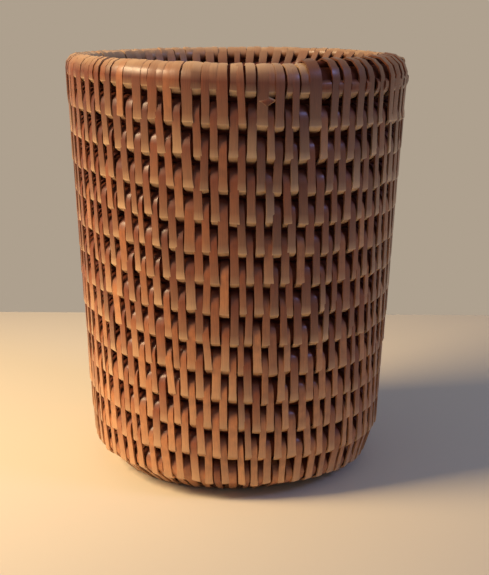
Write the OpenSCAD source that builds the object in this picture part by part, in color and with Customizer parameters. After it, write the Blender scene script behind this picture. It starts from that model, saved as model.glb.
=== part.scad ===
// Wastebasket of coiled rattan.
// One long coil of round cane is laid turn upon turn, flat for the base and then upright
// for the wall. Flat strips of cane bark bind each turn to the turn before it, in every
// second column, so that the strips of neighbouring turns interlock like bricks.
// Origin: middle of the base on the floor. +Z is up, and -Y is the front.

/* [Coil] */
// Diameter of the round cane that is laid up into the base and the wall
cane_d = 16.4; // [14:0.2:17]
// Slack along the coil's lay between the bindings of two neighbouring turns
lay_gap = 1.45; // [1.2:0.05:2.4]
// Gap where two lengths of cane meet end to end, at the left and right of each turn
butt_gap = 0.1; // [0.05:0.05:0.5]
// Half turns of full cane, from the middle of the base to the butt of the rim cane
half_turns = 34; // [30:2:34]

/* [Basket] */
// Outside diameter that the wall would have at the floor if its foot were not rounded
foot_d = 212; // [190:1:240]
// Outside radius of the rounded foot
foot_round = 32; // [31:0.5:38]
// Outward lean of the wall, in degrees
wall_flare = 3; // [0:0.1:6]

/* [Rim cane] */
// Diameter of the rim cane at its thick butt end
rim_butt_d = 24; // [17:0.5:24]
// Diameter of the rim cane at its shaved tip
rim_tip_d = 3; // [3:0.5:8]
// Angle round the basket that the rim cane covers, in degrees
rim_sweep = 357; // [300:1:357]

/* [Binding strips] */
// Thickness of a binding strip
strip_t = 1.2; // [0.8:0.1:1.4]
// Clearance between a binding strip and the cane inside it
strip_fit = 0.2; // [0.15:0.05:0.3]
// Columns of binding strips round the wall, always an odd number
strip_columns = 127; // [101:2:141]
// Gap between two neighbouring columns on the outside of the wall, at the foot
column_gap = 0.45; // [0.3:0.05:1]
// Width of the wider strips that bind the middle of the base
base_strip_w = 4.2; // [3:0.1:5]
// Width of the strips that bind the foot to the base
foot_strip_w = 3; // [2:0.1:3.2]

/* [Start of the coil] */
// Diameter of the shaved cane that curls in to the middle of the base
curl_d = 10; // [8:0.5:11]

/* [Hidden] */
$fn = 48;
cane_r = cane_d / 2;
wrap_r = cane_r + strip_fit + strip_t;
coil_pitch = 2 * wrap_r + lay_gap;

// Path of the coil's centre line in a section through the axis: flat, bend, straight wall
bend_r = foot_round - wrap_r;
bend_angle = 90 - wall_flare;
bend_step = 2 * asin(coil_pitch / bend_r / 2);
bend_len = bend_angle / bend_step * coil_pitch;
corner_r = foot_d / 2 - wrap_r * (cos(wall_flare) - (1 - sin(wall_flare)) * tan(wall_flare));
flat_r = corner_r - bend_r * tan(bend_angle / 2);
wall_dir = [sin(wall_flare), cos(wall_flare)];

// Turns are counted from the middle of the base, two half turns to each
foot_turn = 3;
last_wall_turn = half_turns / 2 - 1;
rim_turn = half_turns / 2;
wall_turns = last_wall_turn - foot_turn;

// Columns: a strip stands in every second one, and the phase moves on by one each turn
strip_step = 720 / strip_columns;
foot_outer_r = flat_r + foot_round;
column_angle = 360 / strip_columns - column_gap / foot_outer_r * 180 / PI;

// Under a turn that rises by less than this angle, a strip lies flat on the floor
steepest_base = 12;
// A strip is creased once for each turn of its path up to this angle, or else three times
sharpest_crease = 95;

colour_cane = "#B08050";
colour_strip = "#A5683A";
colour_base = "#8A5A32";

function two_digits(n) = n < 10 ? str("0", n) : str(n);
wall_coil_names = [for (n = [1:wall_turns]) str("wall_coil_", two_digits(n))];
wall_binding_names = [for (n = [1:wall_turns]) str("wall_binding_", two_digits(n))];

// ---- the coil's centre line ----

// [radius, height] of the centre line at distance s along the section's path
function lay(s) =
    s < flat_r ? [s, wrap_r]
    : s < flat_r + bend_len ? let (a = (s - flat_r) / bend_len * bend_angle)
        [flat_r + bend_r * sin(a), wrap_r + bend_r * (1 - cos(a))]
    : [flat_r + bend_r * sin(bend_angle), wrap_r + bend_r * (1 - cos(bend_angle))]
        + (s - flat_r - bend_len) * wall_dir;

// Half turn i runs from joint i to joint i + 1, which lie on opposite sides in the plane
// y = 0. It is half a ring, tipped about Y so that it meets both, so the turns join smoothly.
function joint_side(i) = i % 2 == 0 ? 1 : -1;
function joint(i) = let (p = lay((i + 1) * coil_pitch / 2)) [joint_side(i) * p[0], p[1]];
function ring_centre(i) = (joint(i) + joint(i + 1)) / 2;
function ring_span(i) = (joint(i) - joint(i + 1)) * joint_side(i);
function ring_r(i) = norm(ring_span(i)) / 2;
function ring_tip(i) = atan2(ring_span(i)[1], ring_span(i)[0]);

// [radius, height] of half turn i at an azimuth seen from the centre of half turn k
function ring_at(i, azimuth, k) =
    let (shift = (ring_centre(i) - ring_centre(k))[0],
         r = ring_r(i) / sqrt(pow(cos(azimuth) / cos(ring_tip(i)), 2) + pow(sin(azimuth), 2)),
         out = r + shift * cos(azimuth),
         x = out * cos(azimuth) - shift)
    [out, ring_centre(i)[1] + x * tan(ring_tip(i))];

// ---- azimuths of the binding strips ----

// Strips stand twice as far apart on each turn of the base as on the turn outside it
function spread(turn) = turn > foot_turn ? 1 : 2 * spread(turn + 1);
function phase(turn) =
    turn > foot_turn ? (turn % 2) / 2 : phase(turn + 1) + spread(turn + 1) / 2;
// Half turn that carries the place at angle a after the start of a turn
function half_at(turn, a) = 2 * turn + (a < 180 ? 0 : 1);
// Where each strip of a turn stands, in degrees from the turn's start, seen from the centre of
// its half turn. The strips stand evenly round the basket's axis, while whole ones fit.
function strip_angles(turn, end = 360) =
    [for (a = [phase(turn) * strip_step : spread(turn) * strip_step : end])
        if (a < end - column_angle / 2) let (i = half_at(turn, a))
            a + asin(ring_centre(i)[0] * sin(a) / ring_r(i))];

// ---- shapes that repeat ----

// Directions that a strip's flats face as it turns from one direction to another
function flats(from, to) =
    let (count = to - from > sharpest_crease ? 3 : 1)
    [for (k = [1:count]) from + (to - from) * k / count];

// Corners of the loop whose flats face the given directions and touch both circles
function loop_corners(facing, c1, r1, c2, r2) =
    let (n = len(facing),
         reach = [for (a = facing) max(c1 * [cos(a), sin(a)] + r1, c2 * [cos(a), sin(a)] + r2)])
    [for (k = [0:n - 1])
        let (a = facing[k], b = facing[(k + 1) % n], ra = reach[k], rb = reach[(k + 1) % n])
        [ra * sin(b) - rb * sin(a), rb * cos(a) - ra * cos(b)] / sin(b - a)];

// Section of a strip's loop round a lower cane at c1 and an upper one at c2. Its end flats
// face the canes before and after, its foot is creased square and its shoulder sloped.
module loop_section(before, c1, r1, c2, r2, after) {
    function heading(v) = atan2(v[1], v[0]);
    along = heading(c2 - c1);
    lean = acos((r1 - r2) / norm(c2 - c1));
    ahead = (heading(after - c2) - along + 540) % 360 - 180;
    behind = (heading(before - c1) - along + 360) % 360;
    down = 270 - along;
    outside = along < steepest_base ? down : 360 - lean;
    foot = c1[1] < 2 * wrap_r && outside > down ? [down, outside] : flats(behind, outside);
    turns = concat([ahead], flats(ahead, lean), flats(lean, behind), foot,
                   [(outside + ahead + 360) / 2]);
    facing = [for (t = turns) along + t];
    n = len(facing);
    polygon(concat(loop_corners(facing, c1, r1 + strip_fit + strip_t, c2, r2 + strip_fit + strip_t),
                   loop_corners(facing, c1, r1 + strip_fit, c2, r2 + strip_fit)),
            [[for (k = [0:n - 1]) k], [for (k = [0:n - 1]) n + k]]);
}

// One turn of the full cane: two half rings, the first across the front of the basket
module coil_turn(turn) {
    color(colour_cane)
        for (i = [2 * turn, 2 * turn + 1]) {
            butt_angle = butt_gap / ring_r(i) * 180 / PI;
            translate([ring_centre(i)[0], 0, ring_centre(i)[1]])
                rotate([0, -ring_tip(i), 0])
                    rotate([0, 0, (i % 2 == 0 ? 180 : 0) + butt_angle / 2])
                        rotate_extrude(angle = 180 - butt_angle, $fn = 128)
                            translate([ring_r(i), 0]) circle(cane_r);
        }
}

// Section of the strip at angle a of a turn, seen from the centre of its half turn
module binding_section(turn, a) {
    i = half_at(turn, a);
    lower = ring_at(i - 2, -a, i);
    upper = turn == rim_turn ? rim_at(a) : ring_at(i, -a, i);
    before = i < 4 ? 2 * lower - upper : ring_at(i - 4, -a, i);
    after = turn == rim_turn ? 2 * upper - lower : ring_at(i + 2, -a, i);
    loop_section(before, lower, cane_r, upper, turn == rim_turn ? rim_r(a) : cane_r, after);
}

// Strip with its edges on two planes through the axis, so that columns fit side by side
module wedge_loop(turn, a) {
    translate([ring_centre(half_at(turn, a))[0], 0, 0])
        rotate([0, 0, -a - column_angle / 2])
            rotate_extrude(angle = column_angle, $fn = 720)
                binding_section(turn, a);
}

// Strip of one width all along
module straight_loop(turn, a, width) {
    translate([ring_centre(half_at(turn, a))[0], 0, 0])
        rotate([0, 0, -a])
            rotate([90, 0, 0])
                translate([0, 0, -width / 2])
                    linear_extrude(width)
                        binding_section(turn, a);
}

// ---- base ----

// Shaved end of the cane, curled in from the first half turn's butt to its centre
module start_curl() {
    curl_r = (joint(0)[0] - ring_centre(0)[0]) / 2;
    butt_angle = butt_gap / curl_r * 180 / PI;
    color(colour_base) {
        translate([joint(0)[0] - curl_r, 0, wrap_r])
            rotate([0, 0, butt_angle])
                rotate_extrude(angle = 180 - butt_angle)
                    translate([curl_r, 0]) circle(curl_d / 2);
        translate([ring_centre(0)[0], 0, wrap_r]) sphere(curl_d / 2);
    }
}

module base_binding(turn, width) {
    color(colour_base)
        for (a = strip_angles(turn)) straight_loop(turn, a, width);
}

// ---- wall ----

module wall_binding(turn) {
    color(colour_strip)
        for (a = strip_angles(turn)) wedge_loop(turn, a);
}

// ---- rim ----

// The rim cane is shaved from butt to tip, which levels the rim over the climbing coil. Its
// outer side stays flush with the wall's, so its centre line moves out as it grows thinner.
function rim_r(a) = (rim_butt_d + (rim_tip_d - rim_butt_d) * a / rim_sweep) / 2;
function rim_at(a) =
    let (apart = cane_r + rim_r(a) + 2 * (strip_fit + strip_t) + lay_gap,
         shift = cane_r - rim_r(a))
    ring_at(half_at(rim_turn, a) - 2, -a, half_at(rim_turn, a) - 2)
    + sqrt(apart * apart - shift * shift) * wall_dir
    + shift * [wall_dir[1], -wall_dir[0]];

rim_rings = 60;
rim_sides = 12;

module rim_cane() {
    function ring_points(a) =
        let (p = rim_at(a), x = ring_centre(half_at(rim_turn, a) - 2)[0])
        [for (k = [0:rim_sides - 1]) let (t = 360 * k / rim_sides, out = p[0] + rim_r(a) * cos(t))
            [x + out * cos(-a), out * sin(-a), p[1] + rim_r(a) * sin(t)]];
    points = [for (j = [0:rim_rings]) each ring_points(rim_sweep * j / rim_rings)];
    sides = [for (j = [0:rim_rings - 1], k = [0:rim_sides - 1])
        let (k2 = (k + 1) % rim_sides)
        [j * rim_sides + k, (j + 1) * rim_sides + k, (j + 1) * rim_sides + k2, j * rim_sides + k2]];
    ends = [[for (k = [0:rim_sides - 1]) k],
            [for (k = [rim_sides - 1:-1:0]) rim_rings * rim_sides + k]];
    color(colour_cane) polyhedron(points, concat(sides, ends));
}

module rim_binding() {
    color(colour_strip)
        for (a = strip_angles(rim_turn, rim_sweep)) wedge_loop(rim_turn, a);
}

// Single wraps of the rim cane, in the columns between the rim binding's strips
module rim_wraps() {
    width = column_angle * PI / 180 * (rim_at(0)[0] - rim_butt_d / 2);
    color(colour_strip)
        for (a = strip_angles(rim_turn + 1, rim_sweep))
            if (a > column_angle / 2)
                translate([ring_centre(half_at(rim_turn, a) - 2)[0], 0, 0])
                    rotate([0, 0, -a])
                        translate([rim_at(a)[0], width / 2, rim_at(a)[1]])
                            rotate([90, 0, 0])
                                linear_extrude(width)
                                    difference() {
                                        circle(rim_r(a) + strip_fit + strip_t);
                                        circle(rim_r(a) + strip_fit);
                                    }
}

// ---- assembly ----

start_curl();
coil_turn(0);  // base_coil_1
coil_turn(1);  // base_coil_2
coil_turn(2);  // base_coil_3
coil_turn(foot_turn);  // foot_coil
for (n = [1:wall_turns])
    coil_turn(foot_turn + n);
rim_cane();
base_binding(1, base_strip_w);  // base_binding_1
base_binding(2, base_strip_w);  // base_binding_2
base_binding(foot_turn, foot_strip_w);  // foot_binding
for (n = [1:wall_turns])
    wall_binding(foot_turn + n);
rim_binding();
rim_wraps();
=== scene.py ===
import math
import random

import bmesh
import bpy
from mathutils import Matrix, Vector


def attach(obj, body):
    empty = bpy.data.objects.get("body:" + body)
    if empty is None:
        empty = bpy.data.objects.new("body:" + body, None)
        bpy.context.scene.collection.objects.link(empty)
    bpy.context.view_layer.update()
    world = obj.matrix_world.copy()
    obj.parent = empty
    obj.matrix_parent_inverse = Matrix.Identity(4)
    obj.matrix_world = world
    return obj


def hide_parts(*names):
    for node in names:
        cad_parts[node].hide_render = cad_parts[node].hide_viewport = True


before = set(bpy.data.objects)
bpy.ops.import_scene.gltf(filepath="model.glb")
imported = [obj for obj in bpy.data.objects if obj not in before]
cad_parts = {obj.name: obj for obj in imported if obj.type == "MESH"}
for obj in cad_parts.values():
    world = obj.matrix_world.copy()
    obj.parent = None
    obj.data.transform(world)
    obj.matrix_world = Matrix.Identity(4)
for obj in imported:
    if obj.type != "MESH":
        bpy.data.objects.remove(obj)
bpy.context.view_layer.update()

# ---- The coil of cane ----
# One length of peeled rattan cane, soaked and bent, laid flat turn upon turn for the base
# and then upright for the wall. It is stained with the strips that bind it, and shows only
# as a dark round core in the gaps between them. The shapes are the frame's own solids.


def linear(hex_colour):
    """An sRGB hex colour such as "A0703C" as linear red, green, blue and alpha."""
    parts = [int(hex_colour[k:k + 2], 16) / 255 for k in (0, 2, 4)]
    return [c / 12.92 if c <= 0.04045 else ((c + 0.055) / 1.055) ** 2.4 for c in parts] + [1]


def add_node(tree, kind, inputs=None, **settings):
    """Adds a shader node with its settings, and gives each input a value or a link."""
    new = tree.nodes.new("ShaderNode" + kind)
    for name, value in settings.items():
        setattr(new, name, value)
    for place, value in (inputs or {}).items():
        if isinstance(value, bpy.types.NodeSocket):
            tree.links.new(value, new.inputs[place])
        else:
            new.inputs[place].default_value = value
    return new


# Peeled rattan cane under stain: long fine grain that runs round the basket with the cane,
# dull because the stain has soaked in.
cane_stain = bpy.data.materials.new("stained_rattan_cane")
cane_stain.use_nodes = True
tree = cane_stain.node_tree
tree.nodes.clear()
at = add_node(tree, "SeparateXYZ", {0: add_node(tree, "TexCoord").outputs["Object"]})
azimuth = add_node(tree, "Math", {0: at.outputs["Y"], 1: at.outputs["X"]}, operation="ARCTAN2")
across = add_node(tree, "Math", {0: at.outputs["X"], 1: at.outputs["X"]}, operation="MULTIPLY")
across = add_node(tree, "Math", {0: at.outputs["Y"], 1: at.outputs["Y"], 2: across.outputs[0]},
                  operation="MULTIPLY_ADD")
radius = add_node(tree, "Math", {0: across.outputs[0]}, operation="SQRT")
grain_at = add_node(tree, "CombineXYZ", {"X": azimuth.outputs[0], "Y": radius.outputs[0],
                                         "Z": at.outputs["Z"]})
# Grain lines 0.7 mm wide and some 30 mm long on a turn of 100 mm radius
grain_at = add_node(tree, "Mapping", {"Vector": grain_at.outputs[0], "Scale": (3.3, 1400, 1400)})
grain = add_node(tree, "TexNoise", {"Vector": grain_at.outputs[0], "Scale": 1, "Detail": 3})
# Cloudy stain some 17 mm across
stain = add_node(tree, "TexNoise", {"Vector": add_node(tree, "TexCoord").outputs["Object"],
                                    "Scale": 60, "Detail": 2})
tint = add_node(tree, "Mix", {"Factor": grain.outputs[0], "A": linear("461B0E"),
                              "B": linear("67351F")}, data_type="RGBA")
tint = add_node(tree, "Mix", {"Factor": stain.outputs[0], "A": tint.outputs["Result"],
                              "B": linear("572612")}, data_type="RGBA")
relief = add_node(tree, "Bump", {"Height": grain.outputs[0], "Strength": 0.3, "Distance": 0.00015})
surface = add_node(tree, "BsdfPrincipled", {
    "Base Color": tint.outputs["Result"], "Roughness": 0.75, "Specular IOR Level": 0.15,
    "Normal": relief.outputs[0]})
add_node(tree, "OutputMaterial", {"Surface": surface.outputs[0]})

WALL_TURNS = 13
coil_names = ["start_curl", "base_coil_1", "base_coil_2", "base_coil_3", "foot_coil", "rim_cane"]
coil_names += [f"wall_coil_{n:02d}" for n in range(1, WALL_TURNS + 1)]
for name in coil_names:
    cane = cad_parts[name].data
    cane.materials.clear()
    cane.materials.append(cane_stain)

# ---- The wall's binding strips ----
# Flat strips split from the bark of the cane bind each turn to the one below it, in every
# second column, and the next turn's strips stand in the columns between. Each was drawn
# tight while wet, so it lies flat over two canes and folds in sharply under the lower one.
# They are hand-split, so no two are quite as wide, straight or dark as each other.

# The coil's centre line, in metres, as the solids have it
cane_r = 0.0082
strip_fit = 0.0002
strip_t = 0.0012
lay_gap = 0.00145
foot_r = 0.106
foot_round = 0.032
flare = math.radians(3)
wrap_r = cane_r + strip_fit + strip_t
pitch = 2 * wrap_r + lay_gap
bend_r = foot_round - wrap_r
bend_angle = math.pi / 2 - flare
bend_len = bend_angle / (2 * math.asin(pitch / bend_r / 2)) * pitch
corner_r = foot_r - wrap_r * (math.cos(flare) - (1 - math.sin(flare)) * math.tan(flare))
flat_r = corner_r - bend_r * math.tan(bend_angle / 2)
wall_up = Vector((math.sin(flare), math.cos(flare)))
wall_out = Vector((math.cos(flare), -math.sin(flare)))


def lay(s):
    """Radius and height of the centre line at distance s along its path in a section."""
    if s < flat_r:
        return Vector((s, wrap_r))
    a = min((s - flat_r) / bend_len, 1) * bend_angle
    bend = Vector((flat_r + bend_r * math.sin(a), wrap_r + bend_r * (1 - math.cos(a))))
    return bend + max(s - flat_r - bend_len, 0) * wall_up


def half_turn(i):
    """Centre x, centre height, radius and slope of half turn i, which is half a tipped ring."""
    ends = []
    for k in (i, i + 1):
        r, z = lay((k + 1) * pitch / 2)
        ends.append(Vector((r if k % 2 == 0 else -r, z)))
    middle = (ends[0] + ends[1]) / 2
    span = (ends[0] - ends[1]) * (1 if i % 2 == 0 else -1)
    return middle.x, middle.y, span.length / 2, span.y / span.x


def cane_at(i, angle, k):
    """Radius and height of half turn i at an angle seen from the centre of half turn k."""
    x, z, r, slope = half_turn(i)
    shift = x - half_turn(k)[0]
    out = r / math.hypot(math.cos(angle) * math.hypot(1, slope), math.sin(angle))
    out += shift * math.cos(angle)
    return Vector((out, z + (out * math.cos(angle) - shift) * slope))


COLUMNS = 127
column_step = 2 * math.pi / COLUMNS
FOOT_TURN = 3
# How far below the lower cane's middle a strip folds in, from the highest fold to the lowest
HIGH_FOLD, LOW_FOLD = 0.0036, 0.0056
# How far one edge of a strip stands out by its twist, and how loosely strips lie, in metres
TWIST = 0.0002
TIGHT, SLACK, RIM_SLACK = -0.0001, 0.0005, 0.0004
hand = random.Random(7)


def strip_path(low, low_r, high, high_r, after, fold=0.0046, rim_lit=0, lit_reach=0, inside=0.93):
    """The middle of a strip's thickness round two canes, as a list of places: the point in the
    section, how deep it lies in a crease for painted shade and how much painted light it gets,
    both from 0 to 1, and its share of the strip's width. The strip rises out of the crease under
    the cane after, and folds in sharply at a distance below the middle of the lower cane, where it
    is widest and stands proud. How far the painted light reaches up its lower half differs, from 0
    to 1, and so does its share of width inside. A strip over the rim gets painted light on top and
    inside, from 0 to 1, and has no crease there, and any other strip gets none of it."""
    along = (high - low).normalized()
    out = Vector((along.y, -along.x))
    seat = strip_fit + strip_t / 2
    top, foot = high_r + seat, low_r + seat
    on_rim = 1 if rim_lit else 0
    places = []
    # Over the upper cane: painted shade as the strip dips into the crease after it, and on the rim
    # painted light on top
    for turn, share in ((0, 0.88), (30, 0.89), (62, 0.9), (90, 0.93)):
        turn = math.radians(turn)
        p = high + top * (math.cos(turn) * along + math.sin(turn) * out)
        depth = max(1 - (p - high).angle(after - high) / math.radians(95), 0) ** 0.6
        places.append((p, depth * (1 - on_rim), rim_lit * math.cos(turn) ** 2, share + 0.12 * on_rim))
    # Round the lower cane: painted light on the fold's facet and the lower half above it, for
    # light thrown up from the table, and painted shade where the strip dives in under the cane
    # For each place: how far above the lower cane's middle and how far outside it, then the rest
    for up, side, depth, painted_light, share in (
            (0.1 * low_r, foot + 0.0003, 0, 0.2 + 0.45 * lit_reach ** 3, 0.97),
            (0.0005 - fold, foot + 0.0004, 0, 0.5 + 0.45 * lit_reach, 1.08),
            (-fold, foot + 0.0003, 0, 1, 1.1),
            (-fold - 0.0022, foot - 0.0018, 0.05, 1, 1.08),
            (-foot, 0.38 * foot, 0.9, 0.2, 0.95),
            (-foot, 0, 1, 0, 0.9),
            (-0.71 * foot, -0.71 * foot, 0.4, 0, inside),
            (0.2 * foot, -foot, 0.5 * on_rim, 0, inside)):
        places.append((low + up * along + side * out, depth, painted_light, share))
    places.append((high - top * out, 0.3 * on_rim, rim_lit / 2, inside))
    places.append((high + 0.71 * top * (along - out), 0.3 * (1 - on_rim), rim_lit, inside))
    return places


def add_strip(bm, path, centre_x, angle, width, tone, wedge=True, lean=0, twist=0, slack=0,
              crown=0.0002):
    """Bends a flat grid into one closed strip along a path in the section at an angle. It
    narrows with the wall if it is a wedge, and leans sideways as it rises. Its tone runs from
    0, dark, to 1, pale. Twist, slack and the crown of its face are in metres."""
    place = bm.verts.layers.float_vector.get("strip_place")
    shade_and_light = bm.verts.layers.float_vector.get("strip_shade_and_light")
    steps = len(path)
    # Corners of the strip's section: share of its width, and share of its thickness
    corners = [(-1, 1), (0, 1), (1, 1), (1, -1), (-1, -1)]
    grid = bmesh.ops.create_grid(bm, x_segments=steps, y_segments=len(corners), size=1)["verts"]
    # No two strips took the stain alike
    tone = min(max(tone + hand.gauss(0, 0.22), 0), 1)
    widest = max(p[0].x for p in path)
    middle = sum((p[0] for p in path), Vector((0, 0))) / steps
    length = 0
    lengths = [0]
    for k in range(1, steps + 1):
        length += (path[k % steps][0] - path[k - 1][0]).length
        lengths.append(length)
    radial = Vector((math.cos(angle), -math.sin(angle), 0))
    sideways = Vector((-math.sin(angle), -math.cos(angle), 0))
    for v in grid:
        k = round((v.co.x + 1) / 2 * steps)
        side, face = corners[round((v.co.y + 1) / 2 * len(corners)) % len(corners)]
        p, depth, painted_light, share = path[k % steps]
        tangent = (path[(k + 1) % steps][0] - path[k % steps - 1][0]).normalized()
        normal = Vector((-tangent.y, tangent.x))
        if normal.dot(p - middle) < 0:
            normal = -normal
        off = face * strip_t / 2 + (crown if side == 0 else 0) + slack * (1 - depth) + twist * side
        across = side * share * width / 2 * (p.x / widest if wedge else 1)
        shift = across + lean * (p.y - middle.y)
        q = p + off * normal
        v.co = radial * q.x + sideways * shift + Vector((centre_x, 0, q.y))
        v[place] = (lengths[k], across, tone)
        v[shade_and_light] = (depth, painted_light, face)
    bmesh.ops.remove_doubles(bm, verts=grid, dist=1e-7)


def seen_at(i, angle):
    """The angle, from the centre of half turn i, of a strip at an angle round the axis."""
    x, _, r, _ = half_turn(i)
    return angle + math.asin(x * math.sin(angle) / r)


def new_binding():
    """An empty mesh whose points carry their place on a strip, how deep it lies in a crease for
    painted shade, and how much painted light it gets there.
    """
    bm = bmesh.new()
    bm.verts.layers.float_vector.new("strip_place")
    bm.verts.layers.float_vector.new("strip_shade_and_light")
    return bm


def finish_binding(bm, name, node, material):
    """Makes the strips of one turn an object that stands for its plain solids."""
    bmesh.ops.recalc_face_normals(bm, faces=bm.faces)
    shade_and_light = bm.verts.layers.float_vector.get("strip_shade_and_light")
    for edge in bm.edges:
        folded = all(v[shade_and_light].y == 1 for v in edge.verts)
        edge.smooth = not folded and edge.calc_face_angle(0) < math.radians(50)
    for face in bm.faces:
        face.smooth = True
    mesh = bpy.data.meshes.new(name)
    bm.to_mesh(mesh)
    bm.free()
    mesh.materials.append(material)
    piece = bpy.data.objects.new(name, mesh)
    bpy.context.scene.collection.objects.link(piece)
    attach(piece, "root")
    if node:
        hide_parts(node)


def bark_strip_material(name, pale, ruddy, brown, crease, painted_light_colour, roughness):
    """Cane bark: hard and satin, with fine fibres lengthwise. Each strip has its own tone. Where a
    strip dives between the canes it is painted darker, as painted shade, and at its folds and over
    the rim it is painted paler, as painted light."""
    material = bpy.data.materials.new(name)
    material.use_nodes = True
    tree = material.node_tree
    tree.nodes.clear()
    place = add_node(tree, "Attribute", attribute_name="strip_place", attribute_type="GEOMETRY")
    shade_and_light = add_node(tree, "Attribute", attribute_name="strip_shade_and_light", attribute_type="GEOMETRY")
    shade_and_light = add_node(tree, "SeparateXYZ", {0: shade_and_light.outputs["Vector"]})
    tone = add_node(tree, "SeparateXYZ", {0: place.outputs["Vector"]}).outputs["Z"]
    # Fibres 0.35 mm wide and about 12 mm long; the third scale sets strips apart
    fibre_at = add_node(tree, "Mapping", {"Vector": place.outputs["Vector"],
                                          "Scale": (80, 2800, 90)})
    fibre = add_node(tree, "TexNoise", {"Vector": fibre_at.outputs[0], "Scale": 1, "Detail": 4,
                                        "Roughness": 0.6})
    # Cloudy stain some 6 mm across
    cloud_at = add_node(tree, "Mapping", {"Vector": place.outputs["Vector"],
                                          "Scale": (160, 160, 40)})
    cloud = add_node(tree, "TexNoise", {"Vector": cloud_at.outputs[0], "Scale": 1, "Detail": 2})
    body = add_node(tree, "ValToRGB", {"Fac": tone})
    ramp = body.color_ramp
    ramp.elements[0].color = linear(brown)
    ramp.elements[1].color = linear(pale)
    ramp.elements.new(0.5).color = linear(ruddy)
    cloudy = add_node(tree, "MapRange", {"Value": cloud.outputs[0], "From Min": 0.35,
                                         "From Max": 0.75, "To Max": 0.5})
    tint = add_node(tree, "Mix", {"Factor": cloudy.outputs[0], "A": body.outputs[0],
                                  "B": linear(brown)}, data_type="RGBA")
    lines = add_node(tree, "MapRange", {"Value": fibre.outputs[0], "From Min": 0.3,
                                        "From Max": 0.7, "To Min": 0.72, "To Max": 1.18})
    tint = add_node(tree, "Mix", {"Factor": 1, "A": tint.outputs["Result"],
                                  "B": lines.outputs[0]}, data_type="RGBA", blend_type="MULTIPLY")
    # Painted light: the folds and the rim are painted paler, least on the palest strips
    uneven = add_node(tree, "MapRange", {"Value": fibre.outputs[0], "To Min": 0.6, "To Max": 1.1})
    shown = add_node(tree, "MapRange", {"Value": tone, "To Min": 1, "To Max": 0.55})
    painted_light = add_node(tree, "Math", {0: shade_and_light.outputs["Y"], 1: uneven.outputs[0]},
                   operation="MULTIPLY")
    painted_light = add_node(tree, "Math", {0: painted_light.outputs[0], 1: shown.outputs[0]}, operation="MULTIPLY",
                   use_clamp=True)
    tint = add_node(tree, "Mix", {"Factor": painted_light.outputs[0], "A": tint.outputs["Result"],
                                  "B": linear(painted_light_colour)}, data_type="RGBA")
    # Painted shade: the deeper a strip lies in a crease, the nearer it is painted to the crease
    # colour
    painted_shade = add_node(tree, "MapRange", {"Value": shade_and_light.outputs["X"], "From Min": 0.1,
                                       "From Max": 0.85}, interpolation_type="SMOOTHSTEP")
    tint = add_node(tree, "Mix", {"Factor": painted_shade.outputs[0], "A": tint.outputs["Result"],
                                  "B": linear(crease)}, data_type="RGBA")
    rough = add_node(tree, "MapRange", {"Value": cloud.outputs[0], "To Min": roughness - 0.08,
                                        "To Max": roughness + 0.12})
    rough = add_node(tree, "Math", {0: painted_shade.outputs[0], 1: 0.4, 2: rough.outputs[0]},
                     operation="MULTIPLY_ADD")
    relief = add_node(tree, "Bump", {"Height": fibre.outputs[0], "Strength": 0.5,
                                     "Distance": 0.00015})
    surface = add_node(tree, "BsdfPrincipled", {
        "Base Color": tint.outputs["Result"], "Roughness": rough.outputs[0],
        "Normal": relief.outputs[0], "Coat Weight": 0.4, "Coat Roughness": 0.25})
    add_node(tree, "OutputMaterial", {"Surface": surface.outputs[0]})
    return material


# The crease colour is painted shade, and the pale fold colour painted light
bark_strip = bark_strip_material(
    "varnished_cane_bark", pale="C07C4A", ruddy="8A4520", brown="6C361E", crease="521D0D",
    painted_light_colour="E4BA88", roughness=0.42)


# How far each column stands out of true, as a share of its width. It wanders from turn to turn,
# because each strip is pushed in beside the ones below it.
lanes = [hand.gauss(0, 0.14) for _ in range(COLUMNS)]


def wander():
    """Shifts each column a little from where it stood on the turn below."""
    for c in range(COLUMNS):
        lanes[c] = 0.85 * lanes[c] + hand.gauss(0, 0.075)


def columns_of(turn):
    """Angle round the axis and width in radians of each strip of a turn, from its start."""
    places = []
    for c in range(turn % 2, COLUMNS, 2):
        room = 1 + (lanes[(c + 1) % COLUMNS] - lanes[c - 1]) / 2
        width = room * column_step * hand.uniform(0.88, 1.08)
        places.append(((c + lanes[c]) * column_step, width))
    return places


for n in range(1, WALL_TURNS + 1):
    turn = FOOT_TURN + n
    wander()
    bm = new_binding()
    for a, width in columns_of(turn):
        i = 2 * turn + (0 if a < math.pi else 1)
        angle = seen_at(i, a)
        # Painted light reaches furthest up the strips of the lowest turns, and up the strips that
        # fold in high
        fold = hand.uniform(HIGH_FOLD, LOW_FOLD)
        short = (LOW_FOLD - fold) / (LOW_FOLD - HIGH_FOLD)
        lit_reach = min(max(1.15 - 0.15 * n, 0) + short ** 2, 1)
        path = strip_path(cane_at(i - 2, angle, i), cane_r, cane_at(i, angle, i), cane_r,
                          cane_at(i + 2, angle, i), fold=fold, lit_reach=lit_reach)
        if n == 1:
            path = [(Vector((p.x, max(p.y, strip_t))), *rest) for p, *rest in path]
        # The strips lean back a little against the climb of the coil
        slope = 0.015 + 0.04 * abs(math.cos(a)) + hand.gauss(0, 0.02)
        # Turn by turn the strips are painted darker towards the rim and paler towards the foot:
        # painted shade above, painted light from the table below
        add_strip(bm, path, half_turn(i)[0], angle, max(p[0].x for p in path) * width,
                  tone=1.05 - 0.072 * n, lean=slope, twist=hand.gauss(0, TWIST),
                  slack=hand.uniform(TIGHT, SLACK))
    finish_binding(bm, f"wall_strips_{n:02d}", f"wall_binding_{n:02d}", bark_strip)

# ---- The base's binding strips ----
# The same bark, in narrower strips, binds the foot and the flat base, where they stand further
# apart towards the middle. The basket rests on them, so their varnish is scuffed dull.
# The crease colour is painted shade, and the pale fold colour painted light
dull_strip = bark_strip_material(
    "scuffed_cane_bark", pale="94673E", ruddy="81502E", brown="643A20", crease="31110A",
    painted_light_colour="B48C5C", roughness=0.6)
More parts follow.
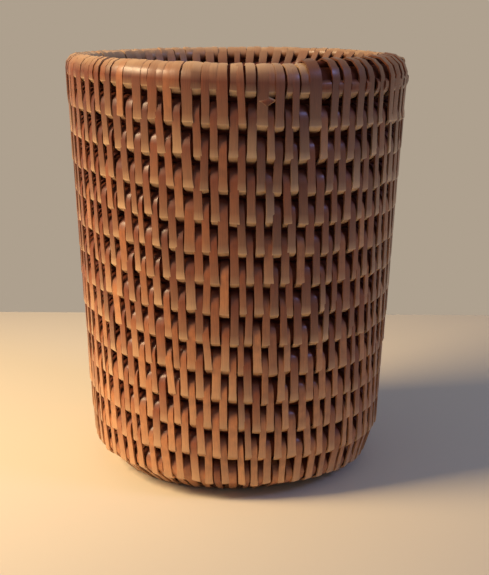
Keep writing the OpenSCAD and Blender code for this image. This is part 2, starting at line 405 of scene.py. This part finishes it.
# For each turn: how many columns apart its strips stand, the first one's column, their width
for turn, spread, first, width, node in ((1, 16, 8, 0.0042, "base_binding_1"),
                                         (2, 8, 4, 0.0042, "base_binding_2"),
                                         (3, 2, 1, 0.0036, "foot_binding")):
    bm = new_binding()
    for c in range(first, COLUMNS, spread):
        a = c * column_step
        i = 2 * turn + (0 if a < math.pi else 1)
        angle = seen_at(i, a)
        path = strip_path(cane_at(i - 2, angle, i), cane_r, cane_at(i, angle, i), cane_r,
                          cane_at(i + 2, angle, i))
        path = [(Vector((p.x, max(p.y, strip_t / 2))), *rest) for p, *rest in path]
        add_strip(bm, path, half_turn(i)[0], angle, width, tone=0.8, wedge=False, crown=0)
    finish_binding(bm, node.replace("binding", "strips"), node, dull_strip)

# ---- The rim ----
# A last cane, shaved from a thick butt to a thin tip, levels the rim over the climbing coil.
# Strips bind it down in every second column, and single wraps cover it between them, packed
# edge to edge. Round its butt end the wraps cover only its lower half, and the bare cane shows.
RIM_TURN = FOOT_TURN + WALL_TURNS + 1
rim_sweep = math.radians(357)
rim_butt_r = 0.012
rim_taper = 0.0105
# Angles from the butt end, at the right, to where the strips' painted shade, the wraps' split and
# the lift of the strips end. The lift rises over lift_rise from the butt end, so that nothing juts
# out where the butt meets the tip, and falls over lift_fall before its own end.
dark_end = math.radians(66)
split_end = math.radians(62)
lift_end = math.radians(70)
lift_fall = math.radians(6)
lift_rise = math.radians(12)
LIFT = 0.0025


def rim_radius(a):
    """Radius of the rim cane at an angle from its butt end."""
    return rim_butt_r - rim_taper * a / rim_sweep


def rim_at(a, angle):
    """Radius and height of the rim cane's centre over the last full turn."""
    i = 2 * RIM_TURN + (0 if a < math.pi else 1)
    r = rim_radius(a)
    apart = cane_r + r + 2 * (strip_fit + strip_t) + lay_gap
    shift = cane_r - r
    return (cane_at(i - 2, angle, i - 2) + math.sqrt(apart ** 2 - shift ** 2) * wall_up
            + shift * wall_out)


wander()
bm = new_binding()
for a, width in columns_of(RIM_TURN):
    if a > rim_sweep - column_step / 2:
        continue
    i = 2 * RIM_TURN + (0 if a < math.pi else 1)
    angle = seen_at(i, a)
    low = cane_at(i - 2, angle, i)
    high = rim_at(a, angle)
    # Over the butt end the strips stand off the cane, on a reed laid along it. On that side of the
    # basket they are painted the darkest tone, as painted shade, with little painted light on top.
    lift = LIFT * min(max((lift_end - a) / lift_fall, 0), 1, a / lift_rise)
    high += lift * (high - low).normalized()
    path = strip_path(low, cane_r, high, rim_radius(a) + 0.4 * lift, 2 * high - low,
                      fold=hand.uniform(HIGH_FOLD, LOW_FOLD), rim_lit=0.1 if a < dark_end else 1,
                      inside=1.12)
    slope = 0.08 * max(math.cos(a), 0) + hand.gauss(0, 0.025)
    add_strip(bm, path, half_turn(i)[0], angle, max(p[0].x for p in path) * width,
              tone=0 if a < dark_end else 0.3, lean=slope, twist=hand.gauss(0, TWIST),
              slack=hand.uniform(TIGHT, RIM_SLACK))
finish_binding(bm, "rim_strips", "rim_binding", bark_strip)

# Up and outward shares of a wrap's radius, depth in the crease for painted shade, painted light
# and share of width
wrap_shape = ((1, 0, 0, 1, 1), (0.87, 0.5, 0, 0.85, 1), (0.5, 0.87, 0, 0.2, 1),
              (0, 1, 0, 0, 0.95), (-0.42, 1, 0, 0.3, 1.08), (-0.47, 0.99, 0, 1, 1.1),
              (-0.75, 0.76, 0.1, 1, 1.08), (-0.97, 0.35, 0.9, 0.2, 0.9),
              (-1, -0.1, 1, 0, 0.9), (-0.71, -0.71, 0.6, 0, 1.1), (0, -1, 0.1, 0.4, 1.12),
              (0.71, -0.71, 0, 0.8, 1.1))
# Round the butt end the wraps come out of a split half way up it
split_shape = ((0.25, 0.7, 1, 0, 0.8), (0.12, 0.98, 0.5, 0, 0.85), (0, 1.06, 0, 0, 0.9),
               (-0.25, 1.06, 0, 0, 0.95), *wrap_shape[4:9], (-0.7, -0.4, 1, 0, 0.8),
               (0, 0, 1, 0, 0.8))
bm = new_binding()
for a, width in columns_of(RIM_TURN + 1):
    if not column_step / 2 < a < rim_sweep - column_step / 2:
        continue
    i = 2 * RIM_TURN + (0 if a < math.pi else 1)
    angle = seen_at(i, a)
    centre = rim_at(a, angle)
    r = rim_radius(a) + strip_fit + strip_t / 2
    shape = split_shape if a < split_end else wrap_shape
    path = [(centre + r * (up * wall_up + out * wall_out), *rest) for up, out, *rest in shape]
    add_strip(bm, path, half_turn(i)[0], angle, max(p[0].x for p in path) * width, tone=0.3,
              twist=hand.gauss(0, TWIST), slack=hand.uniform(TIGHT, RIM_SLACK))
finish_binding(bm, "rim_cover_wraps", "rim_wraps", bark_strip)

# ---- Reed in the grooves ----
# A thin round reed lies in the groove between each turn of the wall and the next, under the
# strips. It closes the gap that the strips' thickness holds open, and takes the same stain.
# A short length of it lies on the rim cane's butt, under the strips that stand off it.
REED_R = 0.0021
# The half turns that have this groove under them, up to the two of the rim cane
first_half = 2 * FOOT_TURN + 3
last_half = 2 * RIM_TURN + 1
points_per_half = 48
reed_line = []
for i in range(first_half, last_half + 1):
    for k in range(points_per_half):
        angle = math.pi * ((i % 2) + k / points_per_half)
        low = cane_at(i - 2, angle, i)
        if i < 2 * RIM_TURN:
            high, high_r = cane_at(i, angle, i), cane_r
        else:
            high, high_r = rim_at(angle, angle), rim_radius(angle)
        gap = (high - low).length - cane_r - high_r
        p = low + (high - low).normalized() * (cane_r + gap / 2)
        reed_line.append((half_turn(i)[0] + p.x * math.cos(angle), -p.x * math.sin(angle), p.y))

# The butt reed runs from 1 degree to 67 degrees from the butt end, half sunk into the cane
butt_points = 24
butt_line = []
for k in range(butt_points):
    angle = math.radians(1 + 66 * k / (butt_points - 1))
    high = rim_at(angle, angle)
    out = high.x + math.sin(flare) * (rim_radius(angle) + REED_R / 2)
    up = high.y + math.cos(flare) * (rim_radius(angle) + REED_R / 2)
    centre_x = half_turn(2 * RIM_TURN)[0]
    butt_line.append((centre_x + out * math.cos(angle), -out * math.sin(angle), up))

# Core reed, which has no bark, under the same stain: a more even, redder brown than the cane
dark_reed = cane_stain.copy()
dark_reed.name = "stained_core_reed"
for part in dark_reed.node_tree.nodes:
    if part.bl_idname == "ShaderNodeMix":
        part.inputs["A"].default_value = linear("4C1D0E")
        part.inputs["B"].default_value = linear("612C16")
for name, line in (("groove_reed", reed_line), ("butt_reed", butt_line)):
    curve = bpy.data.curves.new(name, "CURVE")
    curve.dimensions = "3D"
    curve.bevel_depth = REED_R
    curve.bevel_resolution = 1
    curve.use_fill_caps = True
    spline = curve.splines.new("POLY")
    spline.points.add(len(line) - 1)
    for point, at_place in zip(spline.points, line):
        point.co = (*at_place, 1)
    form = bpy.data.objects.new(name + "_form", curve)
    reed = bpy.data.objects.new(name, bpy.data.meshes.new_from_object(form))
    bpy.data.objects.remove(form)
    bpy.context.scene.collection.objects.link(reed)
    reed.data.materials.clear()
    reed.data.materials.append(dark_reed)
    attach(reed, "root")

# ---- Tucked strip end ----
# Where one strip ran out, its end was folded flat and tucked in under the rim, and the next was
# started beside it. It shows as a small lozenge of bark with edges painted paler.
tuck_angle = math.radians(80.2)
TUCK_HALF_WIDTH = 0.0058
TUCK_HALF_HEIGHT = 0.0033
TUCK_CROWN = 0.0008
# How far it stands proud of the strips, and how far above the middle of the wall's last turn
TUCK_PROUD, TUCK_UP = 0.0004, 0.0102
tuck = cane_at(2 * RIM_TURN - 2, tuck_angle, 2 * RIM_TURN)
tuck += Vector((wrap_r + TUCK_PROUD, TUCK_UP))
radial = Vector((math.cos(tuck_angle), -math.sin(tuck_angle), 0))
sideways = Vector((-math.sin(tuck_angle), -math.cos(tuck_angle), 0))
middle = radial * tuck.x + Vector((half_turn(2 * RIM_TURN)[0], 0, tuck.y))
bm = new_binding()
place = bm.verts.layers.float_vector.get("strip_place")
shade_and_light = bm.verts.layers.float_vector.get("strip_shade_and_light")
# Corners of the lozenge: share of its half width and of its half height
outline = [bm.verts.new(middle + TUCK_HALF_WIDTH * across * sideways
                        + Vector((0, 0, TUCK_HALF_HEIGHT * up)))
           for across, up in ((-1, 0.3), (-0.1, 1), (1, 0.25), (0.2, -1))]
face = bm.faces.new(outline)
# The strip's thickness is drawn out behind, and a smaller crowned face in front
back = bmesh.ops.extrude_face_region(bm, geom=[face])["geom"]
back = [v for v in back if isinstance(v, bmesh.types.BMVert)]
bmesh.ops.translate(bm, verts=back, vec=-strip_t * radial)
crown = bmesh.ops.extrude_face_region(bm, geom=[face])["geom"]
crown = [v for v in crown if isinstance(v, bmesh.types.BMVert)]
bmesh.ops.delete(bm, geom=[face], context="FACES_ONLY")
bmesh.ops.scale(bm, verts=crown, vec=(0.62, 0.62, 0.62), space=Matrix.Translation(-middle))
bmesh.ops.translate(bm, verts=crown, vec=TUCK_CROWN * radial)
for v in bm.verts:
    v[place] = (v.co.z, v.co.x, 0.35)
    v[shade_and_light] = (0, 0 if v in crown else 0.8, 1)
finish_binding(bm, "tucked_strip_end", None, bark_strip)

# ---- Table top ----
# A plain table top, painted a pale matt cream, on which no highlight shows. It ends a little
# behind the basket, where it meets a pale background.
table_colour = bpy.data.materials.new("matt_table_top")
table_colour.use_nodes = True
surface = table_colour.node_tree.nodes["Principled BSDF"]
surface.inputs["Base Color"].default_value = linear("D4C8AE")
surface.inputs["Roughness"].default_value = 0.8
TABLE_EDGE = 0.385
HALF_TABLE = 3
bm = bmesh.new()
bmesh.ops.create_grid(bm, x_segments=1, y_segments=1, size=HALF_TABLE,
                      matrix=Matrix.Translation((0, TABLE_EDGE - HALF_TABLE, 0)))
mesh = bpy.data.meshes.new("table_top")
bm.to_mesh(mesh)
bm.free()
mesh.materials.append(table_colour)
table = bpy.data.objects.new("table_top", mesh)
bpy.context.scene.collection.objects.link(table)

# ---- Light ----
# A large soft warm lamp on the left, a cool one on the right, and pale light all round. Each
# lamp has its place, its width in metres, its watts, colour and spread, and where it aims.
for name, place, size, watts, colour, spread, aim in (
        ("key_lamp", (-1.15, -0.35, 1.0), 0.6, 4.4, "FFE0B4", 52, (-0.26, 0, 0)),
        ("fill_lamp", (1.3, -0.6, 1.2), 0.4, 5.4, "A0B0FF", 180, (0, 0, 0.15))):
    lamp = bpy.data.lights.new(name, "AREA")
    lamp.size = size
    lamp.energy = watts
    lamp.color = linear(colour)[:3]
    lamp.spread = math.radians(spread)
    holder = bpy.data.objects.new(name, lamp)
    holder.location = place
    holder.rotation_euler = (Vector(aim) - Vector(place)).to_track_quat("-Z", "Y").to_euler()
    bpy.context.scene.collection.objects.link(holder)

# The pale light all round is seen by the camera, and in gloss, as a plain wall of one tone
world = bpy.data.worlds.new("studio")
bpy.context.scene.world = world
world.use_nodes = True
tree = world.node_tree
tree.nodes.clear()
light = add_node(tree, "Background", {"Color": linear("D8E2FF"), "Strength": 0.31})
wall = add_node(tree, "Background", {"Color": linear("AEA08E"), "Strength": 1})
rays = add_node(tree, "LightPath").outputs
seen = add_node(tree, "Math", {0: rays["Is Camera Ray"], 1: rays["Is Glossy Ray"]},
                operation="ADD")
seen = add_node(tree, "Math", {0: seen.outputs[0], 1: rays["Is Transmission Ray"]},
                operation="ADD", use_clamp=True)
shown = add_node(tree, "MixShader", {0: seen.outputs[0], 1: light.outputs[0],
                                     2: wall.outputs[0]})
add_node(tree, "OutputWorld", {"Surface": shown.outputs[0]})

# ---- Camera ----
# Slightly above the rim and close, tipped down a little and rolled by under a degree.
camera = bpy.data.objects.new("camera", bpy.data.cameras.new("camera"))
camera.data.sensor_width = 36
camera.data.lens = 73.75
dip = math.radians(14.33)
roll = math.radians(0.4)
camera.matrix_world = (Matrix.Translation((0.0066, -0.858, 0.347))
                       @ Matrix.Rotation(math.pi / 2 - dip, 4, "X")
                       @ Matrix.Rotation(roll, 4, "Z"))
bpy.context.scene.collection.objects.link(camera)
bpy.context.scene.camera = camera
bpy.context.scene.view_settings.view_transform = "Standard"
